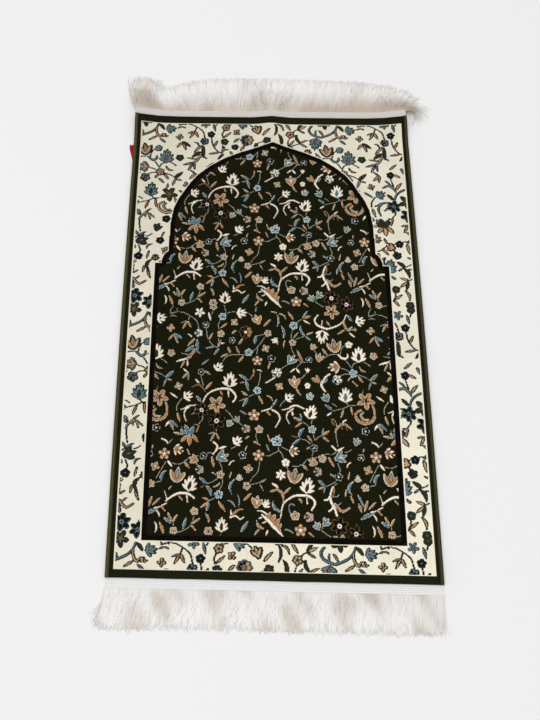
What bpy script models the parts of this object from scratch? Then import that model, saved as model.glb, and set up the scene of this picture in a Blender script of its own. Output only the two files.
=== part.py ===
"""Prayer rug: a woven pile rug with overcast long sides and a sewn-on fringe at each end.

Metres, +Z up. The origin is the centre of the underside, on the floor. +Y runs to the
point of the arch, and +X to the right of someone who stands at the foot of the rug.
"""

import math
import random

import bmesh
import bpy
from mathutils import Vector

# The rug as it is made, squared up.
WIDTH = 0.690  # over both overcast edges
LENGTH = 1.100  # of the weave, between the two heading tapes
THICKNESS = 0.006  # 1.5 mm of backing and 4.5 mm of pile
PILE_ROUNDING = 0.0012  # where the pile falls off at the rim
GAP = 0.0003  # between pieces that are sewn together

EDGE_WIDTH = 0.0095
EDGE_THICKNESS = 0.0068

TAPE_WIDTH = 0.0195
TAPE_THICKNESS = 0.0024
TAPE_RIM = 0.0018  # the thickness of the tape's woven rims and of its valleys
TAPE_RIBS = 5
TAPE_INSET = 0.0015  # the tape is cut this much short of the edges at both sides

LOCKS = 104  # in each fringe
LOCK_FILL = 0.74  # a lock's share of its pitch at the root
LOCK_TOP = 0.66  # the width of a lock's top, as a share of its foot
LOCK_TIPS = (0.60, 0.82)  # how far a lock narrows to its tip, least and most
LOCK_HEIGHT = 0.0046
LOCK_SHAPE = (
    # how far along the lock, its height there as a share of the fullest
    (0.08, 0.80),
    (0.30, 1.00),
    (0.54, 0.92),
    (0.78, 0.66),
    (1.00, 0.35),
)
LOCK_LANDING = 0.70  # how far along a lock has come down from a lifted corner
LOCK_UNEVENNESS = 0.0035  # of a lock's length
CLUMP_SWAY = 0.0022  # how far neighbouring locks drift together
CLUMP_PITCH = 0.085
CLUMP_DRIFT = 0.4  # of a pitch, from a lock's root to its tip

LABEL_THICKNESS = 0.0008
LABEL_TOP = 0.466  # along the rug
LABEL_BOTTOM = 0.421
LABEL_REACH = 0.0110  # past the edge, at its upper corner
LABEL_LOWER_REACH = 0.0008
LABEL_TUCK = 0.0035  # under the edge
LABEL_FOLD = 0.0012  # the softness of its folded corner
LABEL_FOLD_LENGTH = 0.012
LABEL_SEAT_BLEND = 0.012  # over which the edge lifts to pass over the label

# How it lies on the floor.
END_LEAN = 0.0038  # the arch end has slid this far to the left, the foot to the right
END_SLOPE = 0.0051  # the right side lies this much nearer the foot
SLOPE_CHANGE = 0.0021
FOOT_FLARE = 0.0011
SIDE_BOW = 0.0027  # the long sides swell outwards
CORNER_REACH = 0.0032  # the corners of the arch end are drawn outwards
CORNER_LIFT = 0.008
CORNER_SPAN = 0.080
CREASE_LIFT = 0.006  # the packing crease, at the arch end
CREASE_HALF_WIDTH = 0.026
CREASE_LENGTH = 0.330

# The grid that all pieces share: even columns, and rows that are closer where it lifts.
COLUMNS = 26
FLAT_ROWS = 11
LIFTED_ROWS = 15
LIFT_START = 0.200  # along the rug, just short of the crease's foot

# The lie of each fringe: where along the tape (-1 left, 1 right), the way a lock sets out
# from the tape in degrees from straight out, positive to the right, how far it then
# curls round in degrees, and its length in metres.
ARCH_END_LIE = (
    # place, set_out, curl, length
    (-1.00, -24, -4, 0.096),
    (-0.86, -32, 6, 0.094),
    (-0.68, -30, -6, 0.086),
    (-0.54, -6, -6, 0.086),
    (-0.30, 0, 2, 0.092),
    (0.00, 2, 4, 0.092),
    (0.40, 8, 8, 0.090),
    (0.70, 14, 20, 0.088),
    (0.88, 28, 40, 0.086),
    (0.96, 42, 82, 0.084),
    (1.00, 58, 118, 0.086),
)
FOOT_LIE = (
    # place, set_out, curl, length
    (-1.00, -10, -14, 0.074),
    (-0.80, -10, -18, 0.082),
    (-0.45, -12, -8, 0.083),
    (-0.15, -6, 0, 0.082),
    (0.15, -3, 6, 0.081),
    (0.45, 4, -8, 0.081),
    (0.75, 2, 4, 0.081),
    (1.00, -5, 3, 0.079),
)

OLIVE_PILE = (0.012, 0.012, 0.005, 1)
OLIVE_YARN = (0.045, 0.041, 0.016, 1)
WHITE_TAPE = (0.76, 0.75, 0.74, 1)
CREAM_YARN = (0.70, 0.66, 0.62, 1)
RED_RIBBON = (0.30, 0.012, 0.018, 1)


def ease(value):
    """A smooth step from 0 to 1."""
    value = min(max(value, 0.0), 1.0)
    return value * value * (3 - 2 * value)


def lift(across, along):
    """How far the rug stands off the floor: the crease and the two corners."""
    along = min(along, LENGTH / 2)
    from_end = LENGTH / 2 - along
    crease = math.exp(-((across / CREASE_HALF_WIDTH) ** 2)) * ease(1 - from_end / CREASE_LENGTH) ** 2
    from_side = max(WIDTH / 2 - abs(across), 0.0)
    corner = ease(1 - from_side / CORNER_SPAN) * ease(1 - from_end / CORNER_SPAN)
    return CREASE_LIFT * crease + CORNER_LIFT * corner


def lay(across, along, up):
    """Carries a point of the squared-up rug to where it lies."""
    u = across / (WIDTH / 2)
    v = along / (LENGTH / 2)
    reach = CORNER_REACH * min(abs(u), 1.0) ** 6 * min(max(v, 0.0), 1.0) ** 4
    x = across - END_LEAN * v - FOOT_FLARE * u * v + SIDE_BOW * u * max(1 - v * v, 0.0)
    y = along - END_SLOPE * u + SLOPE_CHANGE * u * v + reach
    return Vector((x, y, up + lift(across, along)))


def rows_along():
    """The places of the shared grid's rows, from the foot to the arch end."""
    flat = [-LENGTH / 2 + (LIFT_START + LENGTH / 2) * i / FLAT_ROWS for i in range(FLAT_ROWS)]
    lifted = [LIFT_START + (LENGTH / 2 - LIFT_START) * i / LIFTED_ROWS for i in range(LIFTED_ROWS + 1)]
    return flat + lifted


def material(name, colour, roughness):
    """A plain finish for one kind of yarn."""
    made = bpy.data.materials.new(name)
    made.use_nodes = True
    shader = made.node_tree.nodes["Principled BSDF"]
    shader.inputs["Base Color"].default_value = colour
    shader.inputs["Roughness"].default_value = roughness
    shader.inputs["Metallic"].default_value = 0.0
    return made


def finish(name, bm, *finishes):
    """Turns a finished bmesh into one named object."""
    bmesh.ops.recalc_face_normals(bm, faces=bm.faces)
    mesh = bpy.data.meshes.new(name)
    bm.to_mesh(mesh)
    bm.free()
    for one in finishes:
        mesh.materials.append(one)
    mesh.shade_smooth()
    mesh.set_sharp_from_angle(angle=math.radians(40))
    made = bpy.data.objects.new(name, mesh)
    bpy.context.scene.collection.objects.link(made)
    return made


def pile_rug():
    """The woven rug: one slab of backing and pile, laid over its crease and corners."""
    half_width = WIDTH / 2 - EDGE_WIDTH - GAP
    rows = rows_along()
    bm = bmesh.new()
    bmesh.ops.create_grid(bm, x_segments=COLUMNS, y_segments=len(rows) - 1, size=1.0)
    for vert in bm.verts:
        row = round((vert.co.y + 1) / 2 * (len(rows) - 1))
        vert.co = Vector((vert.co.x * half_width, rows[row], 0.0))
    drawn = bmesh.ops.extrude_face_region(bm, geom=list(bm.faces))["geom"]
    top = {item for item in drawn if isinstance(item, bmesh.types.BMFace)}
    top_verts = [item for item in drawn if isinstance(item, bmesh.types.BMVert)]
    bmesh.ops.translate(bm, vec=(0, 0, THICKNESS), verts=top_verts)
    rim = [edge for face in top for edge in face.edges if not top.issuperset(edge.link_faces)]
    bmesh.ops.bevel(bm, geom=rim, offset=PILE_ROUNDING, segments=2, profile=0.5, affect="EDGES")
    for vert in bm.verts:
        vert.co = lay(*vert.co)
    return finish("pile_rug", bm, material("olive_pile", OLIVE_PILE, 0.95))


def close_sweep(bm, rings):
    """Walls between the rings, and a flat end on the first and the last."""
    for ring, following in zip(rings, rings[1:]):
        for i in range(len(ring)):
            j = (i + 1) % len(ring)
            bm.faces.new((ring[i], ring[j], following[j], following[i]))
    bm.faces.new(rings[0])
    bm.faces.new(rings[-1])


def overcast_edge(name, side):
    """The rounded yarn edge of one long side, with two grooves along its top."""
    profile = (
        # out from the weave, up: shares of the edge's width and thickness
        (0.00, 0.00),
        (0.64, 0.00),
        (0.93, 0.16),
        (1.00, 0.46),
        (0.93, 0.78),
        (0.77, 0.94),
        (0.68, 0.86),
        (0.57, 0.99),
        (0.40, 1.00),
        (0.29, 0.88),
        (0.18, 0.96),
        (0.00, 0.84),
    )
    seat = LABEL_THICKNESS + GAP if side < 0 else 0.0
    label_middle = (LABEL_TOP + LABEL_BOTTOM) / 2
    label_half = (LABEL_TOP - LABEL_BOTTOM) / 2 + GAP
    places = rows_along()
    if seat:
        reaches = (label_half, label_half + LABEL_SEAT_BLEND)
        places += [label_middle + sign * reach for sign in (-1, 1) for reach in reaches]
        places.sort()
    bm = bmesh.new()
    rings = []
    for along in places:
        past_label = abs(along - label_middle) - label_half
        floor = seat * ease(1 - past_label / LABEL_SEAT_BLEND)
        ring = []
        for out, up in profile:
            across = side * (WIDTH / 2 - EDGE_WIDTH * (1 - out))
            ring.append(bm.verts.new(lay(across, along, max(up * EDGE_THICKNESS, floor))))
        rings.append(ring)
    close_sweep(bm, rings)
    return finish(name, bm, material("overcast_yarn", OLIVE_YARN, 0.8))


def lie_at(lie, place):
    """The set-out and curl in radians and the length of a lock, read between the rows."""
    for (place_a, *values_a), (place_b, *values_b) in zip(lie, lie[1:]):
        if place <= place_b:
            break
    share = ease((place - place_a) / (place_b - place_a))
    set_out, curl, length = (a + (b - a) * share for a, b in zip(values_a, values_b))
    return math.radians(set_out), math.radians(curl), length


def lock_path(root_across, root_along, end, lie, length_change):
    """Points along the middle of a lock on the floor, with its side direction and height."""
    set_out, curl, length = lie_at(lie, root_across / (WIDTH / 2))
    length += length_change
    steps_between = 6
    across, along, reached = root_across, root_along, 0.0
    path = []
    for stop, height_share in LOCK_SHAPE:
        step = (stop - reached) / steps_between
        for i in range(steps_between):
            heading = set_out + curl * (reached + step * (i + 0.5))
            across += math.sin(heading) * step * length
            along += end * math.cos(heading) * step * length
        reached = stop
        clump = root_across / CLUMP_PITCH + CLUMP_DRIFT * reached
        sway = CLUMP_SWAY * math.sin(2 * math.pi * clump + end) * reached
        heading = set_out + curl * reached
        sideways = Vector((math.cos(heading), -end * math.sin(heading), 0.0))
        path.append((reached, Vector((across + sway, along, 0.0)), sideways, height_share * LOCK_HEIGHT))
    return path


def fringe_trim(name, end, lie, seed):
    """A ribbed heading tape with its fringe, as locks drawn out of the tape's outer edge."""
    locks_a_column = LOCKS // COLUMNS
    half_length = WIDTH / 2 - TAPE_INSET
    pitch = 2 * half_length / LOCKS
    start = LENGTH / 2 + GAP
    rim_along = end * (start + TAPE_WIDTH)
    rib_width = TAPE_WIDTH / TAPE_RIBS
    inner_profile = [(0.0, 0.0)]
    for i in range(2 * TAPE_RIBS):
        inner_profile.append((i * rib_width / 2, TAPE_THICKNESS if i % 2 else TAPE_RIM))
    dice = random.Random(seed)
    bm = bmesh.new()

    def new_vert(across, out, up):
        return bm.verts.new(lay(across, end * (start + out), up))

    # Where the outer rim is divided: the two sides of every lock's root.
    marks = [-half_length]
    for i in range(LOCKS):
        middle = -half_length + (i + 0.5) * pitch
        marks += [middle - pitch * LOCK_FILL / 2, middle + pitch * LOCK_FILL / 2]
    marks.append(half_length)
    low_rim = [new_vert(across, TAPE_WIDTH, 0.0) for across in marks]
    high_rim = [new_vert(across, TAPE_WIDTH, TAPE_RIM) for across in marks]

    # The tape's own rows run straight, and its last row meets the divided rim.
    def rim_index(column):
        if column == COLUMNS:
            return len(marks) - 1
        return 2 * locks_a_column * column

    rows = []
    for column in range(COLUMNS + 1):
        across = marks[rim_index(column)]
        rows.append([new_vert(across, out, up) for out, up in inner_profile])
    for column in range(COLUMNS):
        here, there = rows[column], rows[column + 1]
        for i in range(len(inner_profile) - 1):
            bm.faces.new((here[i], here[i + 1], there[i + 1], there[i]))
        first, last = rim_index(column), rim_index(column + 1)
        bm.faces.new([here[-1], *high_rim[first : last + 1], there[-1]])
        bm.faces.new([here[0], *low_rim[first : last + 1], there[0]])
    for column, rim in ((0, 0), (COLUMNS, len(marks) - 1)):
        bm.faces.new([*rows[column], high_rim[rim], low_rim[rim]])

    # The rim's wall, with a lock drawn out of every second face.
    for i in range(len(marks) - 1):
        wall = bm.faces.new((low_rim[i], low_rim[i + 1], high_rim[i + 1], high_rim[i]))
        if i % 2 == 0:
            continue
        wall.material_index = 1
        root_across = (marks[i] + marks[i + 1]) / 2
        half_width = pitch * LOCK_FILL / 2
        root = lay(root_across, rim_along, 0.0)
        change = dice.uniform(-LOCK_UNEVENNESS, LOCK_UNEVENNESS)
        path = lock_path(root_across, rim_along, end, lie, change)
        tip_share = dice.uniform(*LOCK_TIPS)
        for reached, middle, sideways, height in path:
            drawn = bmesh.ops.extrude_discrete_faces(bm, faces=[wall])["faces"][0]
            half = half_width * (1 - (1 - tip_share) * reached)
            hang = root.z * ease(1 - reached / LOCK_LANDING)
            place = middle + Vector((root.x - root_across, root.y - rim_along, hang))
            top_half = half * LOCK_TOP
            corners = ((-half, 0.0), (half, 0.0), (top_half, height), (-top_half, height))
            for vert, (side, up) in zip(drawn.verts, corners):
                vert.co = place + sideways * side + Vector((0, 0, up))
            wall = drawn
    tape_finish = material("white_tape", WHITE_TAPE, 0.85)
    return finish(name, bm, tape_finish, material("cream_fringe", CREAM_YARN, 0.85))


def side_label():
    """A folded ribbon tab, trapped slantwise under the left edge."""
    outline = (
        # out past the left edge, along the rug
        (-LABEL_TUCK, LABEL_BOTTOM),
        (-LABEL_TUCK, LABEL_TOP - LABEL_FOLD),
        (LABEL_REACH, LABEL_TOP),
        (LABEL_REACH - LABEL_FOLD, LABEL_TOP - LABEL_FOLD_LENGTH),
        (LABEL_LOWER_REACH, LABEL_BOTTOM + LABEL_FOLD),
    )
    bm = bmesh.new()
    rings = []
    for up in (0.0, LABEL_THICKNESS):
        rings.append([bm.verts.new(lay(-WIDTH / 2 - out, along, up)) for out, along in outline])
    close_sweep(bm, rings)
    return finish("side_label", bm, material("red_ribbon", RED_RIBBON, 0.6))


for old in list(bpy.data.objects):
    bpy.data.objects.remove(old, do_unlink=True)

pile_rug()
overcast_edge("overcast_edge_left", -1)
overcast_edge("overcast_edge_right", 1)
fringe_trim("fringe_trim_top", 1, ARCH_END_LIE, seed=4)
fringe_trim("fringe_trim_bottom", -1, FOOT_LIE, seed=7)
side_label()
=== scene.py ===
"""Prayer rug, dressed: knotted pattern, overcast sides, ribbed tapes, fringes and the side tab.

Metres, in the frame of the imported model: +Y runs to the point of the arch and +Z is up.
"""

import math

import bmesh
import bpy
import numpy as np
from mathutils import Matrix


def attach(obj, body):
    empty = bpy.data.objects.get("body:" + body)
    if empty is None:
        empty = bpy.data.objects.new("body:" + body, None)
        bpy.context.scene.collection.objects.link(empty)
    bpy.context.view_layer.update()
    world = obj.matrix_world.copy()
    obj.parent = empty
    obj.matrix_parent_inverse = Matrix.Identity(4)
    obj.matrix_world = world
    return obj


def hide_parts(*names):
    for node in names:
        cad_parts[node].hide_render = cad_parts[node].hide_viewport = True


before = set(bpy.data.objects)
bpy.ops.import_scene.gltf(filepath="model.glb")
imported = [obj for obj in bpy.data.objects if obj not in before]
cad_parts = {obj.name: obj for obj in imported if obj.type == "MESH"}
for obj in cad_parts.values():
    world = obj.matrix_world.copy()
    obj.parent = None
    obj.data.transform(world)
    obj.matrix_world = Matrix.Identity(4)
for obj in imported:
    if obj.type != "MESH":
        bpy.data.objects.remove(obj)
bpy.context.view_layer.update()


# ---- The woven rug ----
# A machine-woven pile rug in fine knots: an olive ground strewn with flowers, leaves and
# scrolls, a black arch, a cream border with the same drawing in darker yarns and a plain rim.
WIDTH = 0.690  # over both overcast edges
LENGTH = 1.100  # of the weave, between the two heading tapes
THICKNESS = 0.006
EDGE_SHARE = 0.0098  # the width that each overcast side takes
PILE_ROUNDING = 0.0012
END_LEAN, END_SLOPE, SLOPE_CHANGE, FOOT_FLARE = 0.0038, 0.0051, 0.0021, 0.0011
SIDE_BOW, CORNER_REACH, CORNER_LIFT, CORNER_SPAN = 0.0027, 0.0032, 0.008, 0.080
CREASE_LIFT, CREASE_HALF_WIDTH, CREASE_LENGTH = 0.006, 0.026, 0.330


def ease(value):
    """A smooth step from 0 to 1."""
    value = np.clip(value, 0.0, 1.0)
    return value * value * (3 - 2 * value)


def lay(across, along, up):
    """Carries a point of the squared-up rug to where it lies, over its crease and its two lifted corners."""
    u, v = across / (WIDTH / 2), along / (LENGTH / 2)
    from_end = LENGTH / 2 - min(along, LENGTH / 2)
    from_side = max(WIDTH / 2 - abs(across), 0.0)
    crease = math.exp(-((across / CREASE_HALF_WIDTH) ** 2)) * ease(1 - from_end / CREASE_LENGTH) ** 2
    corner = ease(1 - from_side / CORNER_SPAN) * ease(1 - from_end / CORNER_SPAN)
    reach = CORNER_REACH * min(abs(u), 1.0) ** 6 * min(max(v, 0.0), 1.0) ** 4
    x = across - END_LEAN * v - FOOT_FLARE * u * v + SIDE_BOW * u * max(1 - v * v, 0.0)
    y = along - END_SLOPE * u + SLOPE_CHANGE * u * v + reach
    return (x, y, up + CREASE_LIFT * crease + CORNER_LIFT * corner)


def set_inputs(made, values):
    for name, value in values.items():
        made.inputs[name].default_value = value


def new_finish(name, values):
    """A material and its shader."""
    made = bpy.data.materials.new(name)
    made.use_nodes = True
    shader = made.node_tree.nodes["Principled BSDF"]
    set_inputs(shader, values)
    return made, shader


def wire(finish, source, target):
    finish.node_tree.links.new(source, target)


def node(finish, kind, links, **values):
    """A shader node: links feed its sockets, and values set its sockets or its own settings."""
    made = finish.node_tree.nodes.new("ShaderNode" + kind)
    for name, value in values.items():
        if hasattr(made, name):
            setattr(made, name, value)
        else:
            made.inputs[name].default_value = value
    for name, source in links.items():
        wire(finish, source, made.inputs[name])
    return made


def sum_of(finish, operation, *terms, kind="Math", output=0):
    """What a sum of sockets and numbers comes to."""
    made = node(finish, kind, {}, operation=operation)
    for target, term in zip(made.inputs, terms):
        if isinstance(term, bpy.types.NodeSocket):
            wire(finish, term, target)
        else:
            target.default_value = term
    return made.outputs[output]


def in_range(finish, value, start, end, low, high, curve="LINEAR"):
    """A value carried from between start and end to between low and high."""
    made = node(finish, "MapRange", {"Value": value}, interpolation_type=curve)
    set_inputs(made, {"From Min": start, "From Max": end, "To Min": low, "To Max": high})
    return made.outputs[0]


def toned(finish, colour, share):
    """A colour made lighter or darker."""
    return node(finish, "VectorMath", {0: colour, "Scale": share}, operation="SCALE").outputs[0]


def colour_at(finish, value, stops):
    """The colour for a value, blended between stops of a place and a colour."""
    made = node(finish, "ValToRGB", {"Fac": value})
    elements = made.color_ramp.elements
    while len(elements) < len(stops):
        elements.new(0.5)
    for element, (place, colour) in zip(elements, stops):
        element.position = place
        element.color = (*colour, 1)
    return made.outputs["Color"]


def texture(finish, kind, vector, scale, **values):
    """How strong a noise or a wave is at a place."""
    return node(finish, "Tex" + kind, {"Vector": vector}, Scale=scale, **values).outputs["Fac"]


def complete(finish, shader, colour, height, strength, depth):
    """Gives a finish its colour and its relief."""
    relief = node(finish, "Bump", {"Height": height}, Strength=strength, Distance=depth)
    wire(finish, colour, shader.inputs["Base Color"])
    wire(finish, relief.outputs[0], shader.inputs["Normal"])
    return finish


def cloth_place(finish):
    """Where a point lies in its own cloth."""
    return node(finish, "UVMap", {}, uv_map="cloth").outputs["UV"]


def rug_place(finish):
    """Where a point lies on the rug, in metres."""
    return node(finish, "TexCoord", {}).outputs["Object"]


def parted(finish, vector):
    """The parts of a vector."""
    return node(finish, "SeparateXYZ", {"Vector": vector}).outputs


def face_outwards(piece):
    """Turns all faces outwards."""
    bm = bmesh.new()
    bm.from_mesh(piece.data)
    bmesh.ops.recalc_face_normals(bm, faces=bm.faces)
    bm.to_mesh(piece.data)
    bm.free()


def piece_from(name, verts, faces, cloth):
    """A piece from its points and faces, with the place of each point in the cloth."""
    mesh = bpy.data.meshes.new(name)
    mesh.from_pydata([tuple(v) for v in verts], [], faces)
    piece = bpy.data.objects.new(name, mesh)
    bpy.context.scene.collection.objects.link(piece)
    face_outwards(piece)
    lay_cloth(piece, cloth)
    return piece


def lay_cloth(piece, cloth):
    """Keeps the place of each point in the cloth, for its finish."""
    layer = piece.data.uv_layers.new(name="cloth")
    corners = np.zeros(len(piece.data.loops), dtype=np.int32)
    piece.data.loops.foreach_get("vertex_index", corners)
    layer.data.foreach_set("uv", np.array(cloth, dtype=float)[corners].ravel())


def smooth_all(piece, angle):
    piece.data.shade_smooth()
    piece.data.set_sharp_from_angle(angle=math.radians(angle))


# The drawing of the repeat, in millimetres of cloth: across and along from the middle of the rug.
REPEAT = (450, 504)
KNOT = 1.5
KNOTS_ACROSS, KNOTS_ALONG = int(REPEAT[0] / KNOT), int(REPEAT[1] / KNOT)
PETAL_DISCS = 15
THIN_RIM, FULL_RIM = 0.7, 0.8
STEM_WIDTH = 1.5
SCROLL_FULLNESS = 0.60
GROUND, EDGE, STEM, RIM, CREAM, PALE, TAN, RUST, BLUE, INK, HALO, WHITE, ROSE, SKY, BARK, FROST = range(16)
repeat = np.zeros((KNOTS_ALONG, KNOTS_ACROSS), dtype=np.int8)


def weave_in(discs, role, rim=None, rim_width=FULL_RIM):
    """Weaves a chain of discs, (across, along, radius), into the repeat, with a rim of another yarn."""
    discs = np.array(discs, dtype=float)
    reach = discs[:, 2].max() + rim_width + KNOT
    spans = [np.arange(int((middles.min() - reach) // KNOT), int((middles.max() + reach) // KNOT) + 1)
             for middles in (discs[:, 0], discs[:, 1])]
    across = ((spans[0] + 0.5) * KNOT)[None, :, None] - discs[:, 0]
    along = ((spans[1] + 0.5) * KNOT)[:, None, None] - discs[:, 1]
    depth = (discs[:, 2] - np.hypot(across, along)).max(axis=2)
    window = np.ix_(spans[1] % KNOTS_ALONG, spans[0] % KNOTS_ACROSS)
    part = repeat[window]
    if rim is not None:
        part[depth > -rim_width] = rim
    if role is not None:
        part[depth > 0] = role
    repeat[window] = part


def stroke(points, widths):
    """A scroll or a stem: discs along a smooth curve, their width running through the given ones."""
    given = np.array(points, dtype=float).reshape(-1, 2)
    p = np.array([given[0], *given, given[-1]])
    path = []
    for i in range(1, len(p) - 2):
        steps = max(int(np.hypot(*(p[i + 1] - p[i]))), 2)
        for t in np.arange(steps) / steps:
            path.append(0.5 * (2 * p[i] + (p[i + 1] - p[i - 1]) * t
                               + (2 * p[i - 1] - 5 * p[i] + 4 * p[i + 1] - p[i + 2]) * t * t
                               + (3 * p[i] - p[i - 1] - 3 * p[i + 1] + p[i + 2]) * t ** 3))
    path.append(p[-1])
    width = np.interp(np.linspace(0, 1, len(path)), np.linspace(0, 1, len(widths)), widths)
    return [(x, y, w / 2) for (x, y), w in zip(path, width)]


def petal(base, tip, width, bend=0.0, fat=0.45):
    """A leaf or a petal: discs from a pointed base to a pointed tip, widest at the share called fat."""
    (x0, y0), (x1, y1) = base, tip
    found = []
    for t in np.arange(PETAL_DISCS) / (PETAL_DISCS - 1):
        swell = math.sin(math.pi * t ** (np.log(0.5) / np.log(fat))) ** 0.8
        side = bend * 4 * t * (1 - t)
        found.append((x0 + (x1 - x0) * t - (y1 - y0) * side, y0 + (y1 - y0) * t + (x1 - x0) * side,
                      max(width / 2 * swell, 0.3)))
    return found


def toward(place, length, turn):
    """The point at a distance from a place, in a direction in degrees."""
    turn = math.radians(turn)
    return (place[0] + length * math.cos(turn), place[1] + length * math.sin(turn))


def spot(place, radius, role, rim=None):
    """One round spot."""
    weave_in([(*place, radius)], role, rim)


def turns_from(turn, count):
    """Directions in degrees, evenly round from the first."""
    return [turn + 360 * k / count for k in range(count)]


def rosette(place, size, role, rim, eye, turn=90, eye_size=0.20, heart=0.25):
    """A small flower of five round petals with a scalloped rim."""
    for one in turns_from(turn, 5):
        spot(toward(place, size * 0.56, one), size * 0.40, rim, EDGE)
    for one in turns_from(turn, 5):
        spot(toward(place, size * 0.54, one), size * heart, role)
    spot(place, size * eye_size, eye)


def round_flower(place, size, role, eye):
    """A flower of five parted round petals with a small star in its middle."""
    for one in turns_from(90, 5):
        spot(toward(place, size * 0.64, one), size * 0.33, role, EDGE)
        spot(toward(place, size * 0.74, one), size * 0.15, RIM)
    for one in turns_from(90, 5):
        weave_in(petal(place, toward(place, size * 0.36, one), 2.6), eye)


def star(place, size, role, rim, eye, points=5, turn=90, width=0.5, ring=None, rim_width=1.0):
    """A flower of parted, pointed petals."""
    for one in turns_from(turn, points):
        low, high = toward(place, size * 0.10, one), toward(place, size * 0.97, one)
        spike = petal(low, high, size * width, 0.0, 0.55)
        weave_in(spike, rim, GROUND)
        weave_in([(x, y, r - rim_width) for x, y, r in spike[2:-2]], role)
    spot(place, size * 0.15, eye)
    if ring is not None:
        spot(place, size * 0.26, ring)
        spot(place, size * 0.12, eye)


def fan(place, size, turn, role, rim=None, eye=None, spread=110, petals=7, width=0.24, cup=0.16, droop=0.50):
    """A palmette or a bloom from the side: pointed petals spread from a foot, the outer ones lower down."""
    spikes = [[(*toward(place, size * cup, turn), size * cup * 0.9)]]
    for share in np.linspace(-1, 1, petals):
        length = size * (1 - droop * abs(share) ** 1.3)
        tip = toward(place, length, turn + math.copysign(abs(share) ** 1.35, share) * spread / 2)
        spikes.append(petal(toward(place, size * 0.05, turn), tip, size * width, 0.0, 0.6))
    for spike in spikes:
        weave_in(spike, None, EDGE, FULL_RIM if rim is None else 2 * FULL_RIM)
    if rim is not None:
        for spike in spikes:
            weave_in(spike, rim, rim, THIN_RIM)
    for spike in spikes:
        weave_in(spike if rim is None else [(x, y, r - 0.6) for x, y, r in spike], role)
    if eye is not None:
        low, high = toward(place, size * 0.12, turn), toward(place, size * 0.58, turn)
        weave_in(petal(low, high, size * 0.17, 0.0, 0.42), eye, EDGE, 1.0)


def leaf(base, tip, width, role, rim, bend=0.0):
    """A leaf: a pale rim round a narrower heart, or one plain yarn."""
    shape = petal(base, tip, width, bend)
    if rim is None:
        weave_in(shape, role, EDGE, THIN_RIM)
    else:
        weave_in(shape, rim, EDGE, 0.6)
        weave_in([(x + 0.5, y - 0.5, r - 0.45) for x, y, r in shape[2:-2]], role)


# Stems: points across and along.
for points in [
    (-232,20, -215,24, -200,22, -187,15, -178,9, -170,0, -166,-16), (224,38, 218,27, 221,21, 230,23),
    (-187,15, -191,4), (-134,31, -137,20), (-149,-15, -148,-25, -146,-35, -141,-45, -133,-55, -122,-60),
    (-110,42, -106,27, -108,20), (-103,22, -97,25, -84,26), (-54,24, -46,17, -42,12),
    (-118,5, -122,-6, -120,-16), (-121,-38, -122,-60), (-17,-33, -28,-50, -38,-62, -44,-68),
    (-36,-33, -29,-29, -20,-28), (-34,-56, -34,-66, -36,-74),
    (-111,-92, -105,-83, -95,-77, -75,-76, -62,-76), (55,1, 59,7, 66,10), (44,-17, 41,-28, 42,-36),
    (52,-37, 62,-33, 73,-29), (41,-55, 43,-66, 50,-76), (32,-97, 20,-105, 15,-109), (53,-83, 63,-90, 72,-91),
    (63,-90, 57,-98, 49,-105), (74,-115, 66,-124, 58,-130), (91,-62, 99,-73),
    (110,-83, 120,-76, 133,-71, 147,-71), (151,-70, 152,-62, 156,-54, 162,-50), (188,-88, 178,-94, 174,-104),
    (202,-88, 209,-92, 215,-97), (163,-86, 172,-100), (150,-103, 160,-106, 168,-110),
    (150,-120, 158,-116, 166,-116), (187,-117, 207,-125, 214,-132), (-158,-127, -156,-136, -152,-148),
    (-44,-122, -50,-132, -55,-134), (-28,-117, -28,-130, -32,-146), (-43,-166, -53,-171),
    (-199,-178, -208,-192, -210,-206), (-103,-202, -92,-212, -86,-222), (-75,-228, -66,-235),
    (-152,-216, -153,-224, -160,-233), (-122,-241, -122,-248), (-37,-253, -36,-262, -33,-268),
    (25,-179, 18,-184, 14,-192), (128,-183, 138,-190), (129,-200, 142,-196, 152,-194, 165,-188, 190,-185),
    (158,-180, 166,-188), (125,-218, 131,-219, 135,-226, 136,-234), (134,-246, 134,-256, 136,-266, 137,-277),
    (136,-284, 131,-290, 124,-294, 110,-293), (167,-282, 160,-287, 152,-289), (83,-221, 81,-230),
    (85,-252, 89,-264, 95,-258, 103,-254), (61,-225, 68,-228, 74,-233), (57,-262, 68,-264, 78,-272),
    (80,-262, 83,-272), (83,-291, 82,-298), (17,-280, 33,-288), (10,-281, 11,-288, 17,-294, 20,-304),
    (10,-288, 2,-293, -8,-299, -17,-300), (-90,-286, -80,-281),
    (-215,-318, -204,-321, -193,-318, -184,-311, -176,-305, -160,-302), (-166,-316, -160,-322),
    (-140,-296, -133,-295, -126,-299), (-115,-313, -109,-327, -109,-332), (-119,-350, -131,-357, -140,-360),
    (-107,-351, -108,-361, -113,-371), (-123,-389, -133,-394, -138,-397),
    (-29,-313, -33,-333, -45,-347, -49,-354), (-46,-360, -31,-356),
    (-166,-428, -168,-436, -173,-446, -183,-454, -197,-460), (-208,-441, -207,-448),
    (39,-320, 50,-320, 62,-315, 71,-306, 86,-302, 95,-300), (85,-316, 89,-322),
    (135,-312, 140,-325, 139,-332), (130,-351, 115,-359, 107,-362), (134,-354, 124,-361),
    (203,-359, 214,-357), (222,-315, 212,-333, 203,-350), (82,-432, 88,-438), (96,-449, 108,-458, 117,-463),
    (100,-446, 100,-441), (171,-436, 167,-444, 167,-452), (27,-322, 30,-331, 23,-338),
]:
    weave_in(stroke(points, (STEM_WIDTH, STEM_WIDTH)), STEM)

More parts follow.
